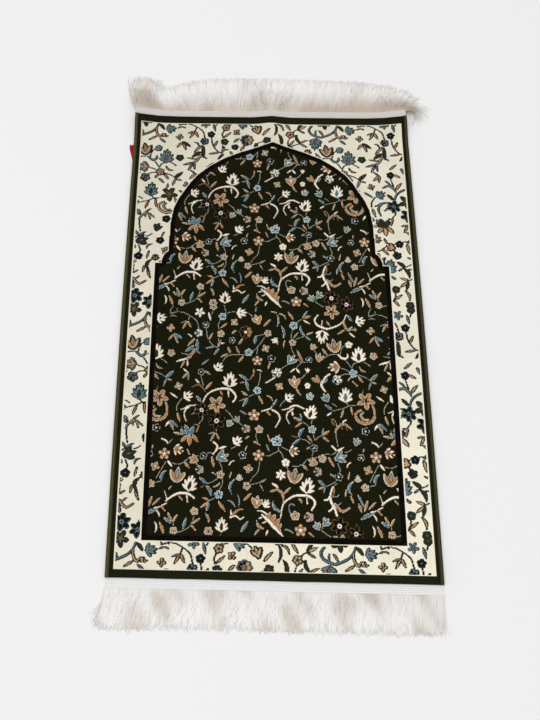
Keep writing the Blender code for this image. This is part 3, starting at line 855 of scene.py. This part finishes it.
def overcast_side(name, node_name, side):
    """One wrapped side: rings along the rug, swelling and sinking with every turn of the yarn."""
    turns = round(LENGTH / WRAP_PITCH)
    places = np.linspace(-LENGTH / 2, LENGTH / 2, turns * WRAP_STEPS + 1)
    fullness = edge_dice.uniform(0.7, 1.25, turns + 3)
    profile = np.array(EDGE_PROFILE)
    away = profile - EDGE_MIDDLE
    away /= np.linalg.norm(away, axis=1, keepdims=True)
    verts, faces, cloth = [], [], []
    around = len(profile)
    for along in places:
        past_tab = abs(along - sum(TAB_SPAN) / 2) - (TAB_SPAN[1] - TAB_SPAN[0]) / 2
        seat = TAB_SEAT * float(ease(1 - past_tab / TAB_BLEND)) if side < 0 else 0.0
        for k, (out, up) in enumerate(profile):
            turn = (along + LENGTH / 2) / WRAP_PITCH + WRAP_SLANT * out
            ridge = abs(math.sin(math.pi * turn)) ** 0.7 * fullness[int(turn) % len(fullness)]
            relief = (ridge - 0.75) * WRAP_RELIEF * (0 < k < around - 1)
            across = side * (WIDTH / 2 - EDGE_WIDTH * (1 - out) + relief * away[k][0])
            height = max(up * EDGE_THICKNESS + relief * away[k][1], seat)
            verts.append(lay(across, along, height))
            cloth.append((out, turn))
    last = (len(places) - 1) * around
    for ring in range(0, last, around):
        for k in range(around):
            a, b = ring + k, ring + (k + 1) % around
            faces.append((a, b, b + around, a + around))
    faces += [tuple(range(around)), tuple(range(last, last + around))]
    piece = piece_from(name, verts, faces, cloth)
    piece.data.materials.append(wrapped_yarn)
    smooth_all(piece, 50)
    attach(piece, "root")
    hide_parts(node_name)
    return piece


def make_wrapped_yarn():
    """Olive yarn: a painted highlight on each crest and painted shade in the channels between, painted shade
    over the right side, and fine turns.
    """
    made, shader = new_finish("wrapped_yarn", {"Roughness": 0.75, "Specular IOR Level": 0.08})
    cloth, place = cloth_place(made), rug_place(made)
    # Painted highlight and shade across the edge: lighter on the crests, darker in the channels and at the
    # inner rim.
    tone = colour_at(made, parted(made, cloth)["X"], (
        # out from the weave, tone
        (0.00, (0.020, 0.019, 0.007)), (0.12, (0.036, 0.033, 0.012)), (0.20, (0.085, 0.074, 0.030)),
        (0.29, (0.036, 0.032, 0.012)), (0.42, (0.120, 0.104, 0.043)), (0.56, (0.108, 0.094, 0.038)),
        (0.68, (0.038, 0.034, 0.013)), (0.78, (0.100, 0.088, 0.035)), (1.00, (0.062, 0.055, 0.022)),
    ))
    speckle = in_range(made, texture(made, "Noise", place, 420.0, Detail=3.0), 0.3, 0.7, 0.70, 1.35)
    # Painted shade: the right side's yarn darker than the left's, for light falling from the left.
    painted_shade_right = in_range(made, parted(made, place)["X"], -0.3, 0.3, 0.92, 0.64)
    mixed = toned(made, tone, sum_of(made, "MULTIPLY", speckle, painted_shade_right))
    wave = texture(made, "Wave", cloth, 1.9, Distortion=0.6, bands_direction="Y")
    return complete(made, shader, mixed, wave, 0.5, 0.0003)


wrapped_yarn = make_wrapped_yarn()
side_left = overcast_side("wrapped_side_left", "overcast_edge_left", -1)
side_right = overcast_side("wrapped_side_right", "overcast_edge_right", 1)


# ---- The heading tapes ----
# A white woven tape with five soft ribs is sewn over each cut end of the weave. The fringe's
# yarn is knitted into its outer rim, and a machine stitch runs along its inner one.
SEAM = 0.0003
TAPE_WIDTH = 0.0195
TAPE_THICKNESS = 0.0024
TAPE_RIM = 0.0018
TAPE_RIBS = 5
TAPE_INSET = 0.0015
TAPE_COLUMNS = 276
TAPE_ROWS = 30
PICK_LENGTH, PICK_RELIEF = 0.0075, 0.00006
WAVE_RELIEF, WAVE_TURN = 0.0001, 53  # the soft waves of its top, and radians of them in a metre
WANDER_REACH, WANDER_TURN = 0.0004, 47  # how its inner rim wanders


def heading_tape(name, node_name, end):
    """A ribbed tape: a fine grid, given its ribs and picks, with a flat underside."""
    bpy.ops.object.select_all(action="DESELECT")
    bpy.ops.mesh.primitive_grid_add(
        x_subdivisions=TAPE_COLUMNS, y_subdivisions=TAPE_ROWS, size=2.0, calc_uvs=False)
    piece = bpy.context.object
    piece.name = name
    bpy.ops.object.mode_set(mode="EDIT")
    bpy.ops.mesh.extrude_region_move(TRANSFORM_OT_translate={"value": (0, 0, 1)})
    bpy.ops.mesh.select_all(action="SELECT")
    bpy.ops.mesh.normals_make_consistent(inside=False)
    bpy.ops.object.mode_set(mode="OBJECT")
    half = WIDTH / 2 - TAPE_INSET
    cloth = []
    for vert in piece.data.vertices:
        across, out = vert.co.x * half, (vert.co.y + 1) / 2
        rib = abs(math.sin(math.pi * out * TAPE_RIBS))
        pick = PICK_RELIEF * math.sin(2 * math.pi * across / PICK_LENGTH)
        pick += WAVE_RELIEF * math.sin(across * WAVE_TURN + out * 2)
        top = TAPE_RIM + (TAPE_THICKNESS - TAPE_RIM) * rib + pick * rib
        wander = WANDER_REACH * math.sin(across * WANDER_TURN + end) * (1 - out)
        along = end * (LENGTH / 2 + SEAM + wander + out * (TAPE_WIDTH - wander))
        cloth.append((across, out))
        vert.co = lay(across, along, top if vert.co.z > 0.5 else 0.0)
    lay_cloth(piece, cloth)
    piece.data.materials.append(tape_cotton)
    if end < 0:
        face_outwards(piece)
    smooth_all(piece, 50)
    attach(piece, "root")
    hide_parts(node_name)
    return piece


def make_tape_cotton():
    """White cotton: painted shade in the grooves between the ribs and over the arch end's tape, fine picks
    across the ribs and a row of stitches near the inner rim.
    """
    made, shader = new_finish("tape_cotton", {"Roughness": 0.85, "Sheen Weight": 0.15})
    cloth = cloth_place(made)
    out = parted(made, cloth)["Y"]
    rib = sum_of(made, "ABSOLUTE", sum_of(made, "SINE", sum_of(made, "MULTIPLY", out, TAPE_RIBS * math.pi)))
    # Painted shade: darker in the grooves between the ribs.
    tone = colour_at(made, rib, ((0.0, (0.58, 0.575, 0.57)), (0.5, (0.84, 0.835, 0.825))))
    along = parted(made, rug_place(made))["Y"]
    # Painted shade: the tape at the arch end darker and warmer than the one at the foot.
    warm = colour_at(made, along, ((0.0, (1.0, 1.0, 1.0)), (0.5, (0.80, 0.755, 0.725))))
    painted_shade_tone = sum_of(made, "MULTIPLY", tone, warm, kind="VectorMath")
    stitch = texture(made, "Wave", cloth, 105.0, bands_direction="X")
    near_seam = in_range(made, out, 0.04, 0.16, 0.22, 0.0)
    kept = sum_of(made, "SUBTRACT", 1.0, sum_of(made, "MULTIPLY", stitch, near_seam))
    picks = texture(made, "Wave", cloth, 260.0, Distortion=1.0, bands_direction="X")
    return complete(made, shader, toned(made, painted_shade_tone, kept), picks, 0.4, 0.0002)


tape_cotton = make_tape_cotton()
tape_at_arch = heading_tape("heading_tape_arch_end", "fringe_trim_top", 1)
tape_at_foot = heading_tape("heading_tape_foot", "fringe_trim_bottom", -1)


# ---- The fringes ----
# Fine crimped white yarn, cut to one length and combed out of the tape. It lies on the floor in flat,
# crossing locks with loose strands over them; at the arch end the left corner curls back on itself.
ARCH_END_LIE = (
    # place along the tape (-1 left, 1 right), setting-out and curl in degrees, length, how loose
    (-1.00, -36, 80, 0.110, 0.1), (-0.92, -36, 70, 0.106, 0.1), (-0.80, -50, 52, 0.093, 0.1),
    (-0.72, -44, 20, 0.072, 0.2), (-0.65, -20, 2, 0.084, 0.2), (-0.52, -6, 2, 0.098, 0.3),
    (-0.30, 2, 2, 0.103, 0.3), (0.00, 6, 4, 0.104, 0.3), (0.30, 8, 6, 0.101, 0.3), (0.55, 10, 8, 0.098, 0.3),
    (0.75, 14, 22, 0.094, 0.3), (0.88, 24, 42, 0.085, 0.4), (0.95, 38, 80, 0.074, 0.7),
    (1.00, 54, 118, 0.077, 0.9),
)
FOOT_LIE = (
    (-1.00, -4, -8, 0.079, 0.0), (-0.85, -8, -12, 0.081, 0.2), (-0.66, -14, -14, 0.080, 0.4),
    (-0.45, -12, 2, 0.078, 0.5), (-0.20, -4, 6, 0.077, 0.5), (0.05, -2, 8, 0.078, 0.5),
    (0.20, -2, -16, 0.078, 0.5), (0.45, 2, 2, 0.078, 0.5), (0.75, -2, -4, 0.078, 0.3),
    (1.00, -8, -6, 0.077, 0.0),
)
LOCK_STOPS = np.array((0.0, 0.14, 0.30, 0.48, 0.66, 0.84, 1.0))
STRAND_STOPS = np.array((0.0, 0.20, 0.45, 0.72, 1.0))
LAYERS = (
    # how many, stops, sides, stray in degrees, lowest and highest layer, least and greatest width
    (260, LOCK_STOPS, 4, 3.0, 0.0, 0.1, 0.0050, 0.0090),
    (2000, LOCK_STOPS, 4, 9.0, 0.1, 0.9, 0.0008, 0.0022),
    (2100, STRAND_STOPS, 3, 13.0, 0.5, 1.2, 0.00018, 0.00030),
)
FINE_STEPS = 24  # along each cord, where it wanders
FRINGE_HEIGHT, FLOOR_GAP = 0.0005, 0.0003
FRINGE_INSET, ROOT_DEPTH, ROOT_STRAY = 0.0008, 0.0006, 0.0006  # at the tape's ends, in its rim, along it
SHORTAGE, LENGTH_STRAY = 0.30, 0.0022  # the share that a short cord lacks, and metres either way
RISE = (0, 0.10, 0.35, 0.7, 1.0), (0.40, 0.75, 0.95, 0.60, 0.12)  # shares of the length, of the height
TAPER = (0, 0.3, 0.7, 1), (0.7, 1.0, 0.85, 0.3)  # shares of the length, of the width
THICKEST, THINNEST, STRAND_WIDTH = 0.00024, 0.00012, 0.0003
# The beige gives each cord a little tone of its own and carries the fringe's painted shade.
WHITE_YARN, BEIGE_TONE_AND_SHADE = np.array((0.975, 0.966, 0.952)), np.array((0.560, 0.475, 0.390))


def read_lie(lie, place):
    """The setting-out and curl in radians, the length and the looseness at places along the tape."""
    table = np.array(lie)
    index = np.clip(np.searchsorted(table[:, 0], place) - 1, 0, len(table) - 2)
    share = ease((place - table[index, 0]) / (table[index + 1, 0] - table[index, 0]))[:, None]
    values = table[index, 1:] * (1 - share) + table[index + 1, 1:] * share
    return np.radians(values[:, 0]), np.radians(values[:, 1]), values[:, 2], values[:, 3]


def patches(across, out, phases):
    """Soft patches of painted shade, from 0 to 1, over the lie of a fringe."""
    found = sum(np.sin(across * (19 + 27 * k) + out * (4.0 - 2.7 * k) + phase) / (1 + 0.15 * k)
                for k, phase in enumerate(phases))
    return ease(found / 3.6 + 0.22)


def lie_down(dice, count, end, lie, stray, layer, stops):
    """The middle lines of cords that leave the tape, wander as they run out and settle on the floor."""
    half = WIDTH / 2 - TAPE_INSET - FRINGE_INSET
    root = np.linspace(-half, half, count) + dice.uniform(-ROOT_STRAY, ROOT_STRAY, count)
    set_out, curl, length, loose = read_lie(lie, root / (WIDTH / 2))
    stray = math.radians(stray) * (0.4 + 1.6 * loose)
    set_out = set_out + dice.normal(0, 1, count) * stray
    curl = curl + dice.normal(0, 1.6, count) * stray
    length = length * (1 - SHORTAGE * dice.random(count) ** 3) + dice.normal(0, LENGTH_STRAY, count)
    share = np.linspace(0, 1, FINE_STEPS + 1)
    wander = np.cumsum(dice.normal(0, 0.5, (count, FINE_STEPS)) * stray[:, None], 1)
    heading = set_out[:, None] + curl[:, None] * (share[:-1] + 0.5 / FINE_STEPS)[None] + wander
    step = (length / FINE_STEPS)[:, None]
    start = np.zeros((count, 1))
    across = root[:, None] + np.concatenate([start, np.cumsum(np.sin(heading) * step, 1)], 1)
    out = np.concatenate([start, np.cumsum(np.cos(heading) * step, 1)], 1)
    height = FLOOR_GAP + FRINGE_HEIGHT * layer[:, None] * np.interp(share, *RISE)[None]
    tape_rim = LENGTH / 2 + SEAM + TAPE_WIDTH - ROOT_DEPTH
    roots = np.array([lay(x, end * tape_rim, 0.0) for x in root])
    hang = roots[:, 2][:, None] * ease(1 - share[None] / 0.7)
    x, y = across + (roots[:, 0] - root)[:, None], roots[:, 1][:, None] + end * out
    lines = np.stack([x, y, height + hang], 2)
    at = stops * FINE_STEPS
    low = np.minimum(at.astype(int), FINE_STEPS - 1)
    part = (at - low)[None, :, None]
    return lines[:, low] * (1 - part) + lines[:, low + 1] * part, 1 - 0.75 * ease((loose - 0.5) / 0.5)


def cords(lines, widths, heights, sides):
    """Closed cords round their middle lines: points, faces and the direction in which each point faces."""
    flow = np.gradient(lines, axis=1)
    flow /= np.linalg.norm(flow, axis=2, keepdims=True)
    side = np.cross(flow, (0.0, 0.0, 1.0))
    side /= np.linalg.norm(side, axis=2, keepdims=True)
    up = np.cross(side, flow)
    turns = np.pi / 2 + 2 * np.pi * np.arange(sides) / sides
    spokes = side[:, :, None] * np.cos(turns)[:, None], up[:, :, None] * np.sin(turns)[:, None]
    verts = lines[:, :, None] + spokes[0] * (widths / 2)[:, :, None, None]
    verts = (verts + spokes[1] * (heights / 2)[:, :, None, None]).reshape(-1, 3)
    verts[:, 2] = np.maximum(verts[:, 2], 0.0)
    last = (lines.shape[1] - 1) * sides
    one = [(r + k, r + (k + 1) % sides, r + sides + (k + 1) % sides, r + sides + k)
           for r in range(0, last, sides) for k in range(sides)]
    one += [tuple(range(sides))[::-1], tuple(range(last, last + sides))]
    faces = [tuple(first + k for k in face) for first in range(0, len(verts), last + sides) for face in one]
    return verts, faces, (spokes[0] + spokes[1]).reshape(-1, 3)


def yarn_tones(dice, layer, across, stops, root_shade, patch_shade, phases):
    """The colour of each cord at its stops: a little beige of its own, and beige as painted shade low down,
    near the tape, at its ends and in patches.
    """
    own = 0.02 + 0.10 * dice.random(len(layer)) ** 2
    # Painted shade: the lower layers beiger, as shade under the locks above them.
    low_down = 0.26 * (1 - np.minimum(layer, 1)) ** 1.5
    # Painted shade: beige near the tape, stronger towards the right, and in the curl at the left end.
    right = ease((across[:, :1] - 0.02) / 0.28)
    near_tape = (0.8 + 0.6 * right) * ease(1 - stops[None] / 0.80) + 0.12 * right
    far_left = 0.25 * ease((-across[:, :1] - 0.25) / 0.06)
    tint = (own + low_down)[:, None] + root_shade * (near_tape + far_left)
    # Painted shade: beige in soft patches over the fringe.
    tint = np.clip(tint + patch_shade * patches(across, stops[None], phases), 0, 1)[:, :, None]
    return WHITE_YARN * (1 - tint) + BEIGE_TONE_AND_SHADE * tint


def fringe(name, node_name, end, lie, root_shade, patch_shade, seed):
    """Flat locks of yarn with loose strands over them, joined in one mesh."""
    dice = np.random.default_rng(seed)
    phases = dice.uniform(0, 6.3, 5)
    verts, faces, facing, colours, cloth = [], [], [], [], []
    for count, stops, sides, stray, least, most, thin, wide in LAYERS:
        layer = dice.uniform(least, most, count)
        lines, fullness = lie_down(dice, count, end, lie, stray, layer, stops)
        widths = dice.uniform(thin, wide, count)[:, None] * np.interp(stops, *TAPER)[None]
        widths = np.maximum(widths * fullness[:, None] ** (widths > STRAND_WIDTH), THINNEST)
        found, joined, spokes = cords(lines, widths, np.minimum(widths, THICKEST), sides)
        first = sum(len(v) for v in verts)
        verts.append(found)
        faces += [tuple(first + k for k in face) for face in joined]
        facing.append(spokes)
        colour = np.ones((count, len(stops), sides, 4))
        tones = yarn_tones(dice, layer, lines[:, :, 0], stops, root_shade, patch_shade, phases)
        colour[..., :3] = tones[:, :, None]
        colours.append(colour.reshape(-1, 4))
        place = np.zeros((count, len(stops), sides, 2))
        place[..., 0] = np.arange(sides) + dice.uniform(0, 200, count)[:, None, None]
        place[..., 1] = stops[:, None]
        cloth.append(place.reshape(-1, 2))
    piece = piece_from(name, np.concatenate(verts), faces, np.concatenate(cloth))
    tone = piece.data.attributes.new("strand", "FLOAT_COLOR", "POINT")
    tone.data.foreach_set("color", np.concatenate(colours).ravel())
    piece.data.materials.append(fringe_yarn)
    piece.data.shade_smooth()
    soft = np.concatenate(facing) * 0.12 + (0.0, 0.0, 1.0)
    piece.data.normals_split_custom_set_from_vertices(soft / np.linalg.norm(soft, axis=1, keepdims=True))
    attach(piece, "root")
    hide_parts(node_name)
    return piece


def make_fringe_yarn():
    """White synthetic yarn in fine streaks along each lock, beiger where the locks carry painted shade in
    their colour.
    """
    made, shader = new_finish("fringe_yarn", {"Roughness": 0.6})
    strand = node(made, "Attribute", {}, attribute_name="strand").outputs["Color"]
    along = node(made, "Mapping", {"Vector": cloth_place(made)}, Scale=(3.0, 2.2, 1.0)).outputs["Vector"]
    streak = texture(made, "Noise", along, 1.6, Detail=3.0)
    mixed = toned(made, strand, in_range(made, streak, 0.35, 0.65, 0.93, 1.02))
    return complete(made, shader, mixed, streak, 0.2, 0.0002)


fringe_yarn = make_fringe_yarn()
# The two numbers after each lie: how strong the painted shade is near the tape and in patches.
fringe_at_arch = fringe("fringe_locks_arch_end", "fringe_trim_top", 1, ARCH_END_LIE, 0.84, 0.26, 4)
fringe_at_foot = fringe("fringe_locks_foot", "fringe_trim_bottom", -1, FOOT_LIE, 0.14, 0.54, 7)


# ---- The side tab ----
# A short piece of plain red ribbon, folded and caught slantwise under the left side's yarn.
# It is left bare.
TAB_THICKNESS = 0.0008
TAB_CREASE = 0.00012
TAB_TUCK = -0.0035  # under the left side's yarn
TAB_OUTER = (
    # along the rug, out past the left edge: its outer outline, from its foot to its end
    (0.4222, 0.0008), (0.4540, 0.0098), (0.4660, 0.0110),
)


def side_tab():
    """The ribbon: a grid laid to its outline and given its thickness and a soft fold."""
    bpy.ops.object.select_all(action="DESELECT")
    bpy.ops.mesh.primitive_grid_add(x_subdivisions=16, y_subdivisions=30, size=2.0)
    piece = bpy.context.object
    piece.name = "red_side_tab"
    low, high = TAB_SPAN
    for vert in piece.data.vertices:
        along = low + (high - low) * (vert.co.y + 1) / 2
        reach = float(np.interp(along, *zip(*TAB_OUTER)))
        out = TAB_TUCK + (reach - TAB_TUCK) * (vert.co.x + 1) / 2
        crease = TAB_CREASE * math.sin(along * 900) * max(out, 0) / TAB_OUTER[-1][1]
        vert.co = lay(-WIDTH / 2 - out, along, TAB_THICKNESS + crease)
    solid = piece.modifiers.new("cloth", "SOLIDIFY")
    solid.thickness = TAB_THICKNESS * 0.94
    solid.offset = 1.0
    bpy.context.view_layer.objects.active = piece
    bpy.ops.object.modifier_apply(modifier="cloth")
    face_outwards(piece)
    piece.data.materials.append(make_red_ribbon())
    smooth_all(piece, 40)
    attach(piece, "root")
    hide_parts("side_label")
    return piece


def make_red_ribbon():
    """Red satin ribbon with fine picks, painted shade darkening those that sink."""
    made, shader = new_finish("red_ribbon", {"Roughness": 0.8, "Specular IOR Level": 0.1})
    weave = texture(made, "Wave", rug_place(made), 420.0, Distortion=0.5, bands_direction="Y")
    # Painted shade: the ribbon darker where its picks sink.
    tone = colour_at(made, weave, ((0.0, (0.25, 0.006, 0.016)), (1.0, (0.36, 0.010, 0.024))))
    return complete(made, shader, tone, weave, 0.4, 0.0002)


tab = side_tab()


# ---- The floor, the light and the camera ----
# A plain white floor under an even studio light, seen from above the foot of the rug.
bpy.ops.object.select_all(action="DESELECT")
bpy.ops.mesh.primitive_plane_add(size=30.0, location=(0, 0, -0.0002))
floor = bpy.context.object
floor.name = "studio_floor"
floor_paint, _ = new_finish("floor_paint", {
    "Base Color": (0.86, 0.86, 0.86, 1), "Roughness": 0.9, "Specular IOR Level": 0.1})
floor.data.materials.append(floor_paint)

world = bpy.data.worlds.new("studio")
world.use_nodes = True
set_inputs(world.node_tree.nodes["Background"], {"Color": (1.0, 1.0, 1.0, 1), "Strength": 0.90})
bpy.context.scene.world = world

# A square soft box that faces the middle of the rug.
lamp = bpy.data.lights.new("soft_box", "AREA")
lamp.size = 3.2
lamp.energy = 44.0
soft_box = bpy.data.objects.new("soft_box", lamp)
bpy.context.scene.collection.objects.link(soft_box)
soft_box.location = (-2.4, -1.0, 4.8)
soft_box.rotation_euler = (-soft_box.location).to_track_quat("-Z", "Y").to_euler()

camera = bpy.data.objects.new("camera", bpy.data.cameras.new("camera"))
bpy.context.scene.collection.objects.link(camera)
camera.data.sensor_fit = "VERTICAL"
camera.data.sensor_height = 36.0
camera.data.lens = 26.4
camera.location = (-0.0099, -0.3777, 1.1553)
camera.rotation_euler = (math.radians(14.21), math.radians(-0.22), math.radians(0.06))
bpy.context.scene.camera = camera
bpy.context.scene.view_settings.view_transform = "Standard"
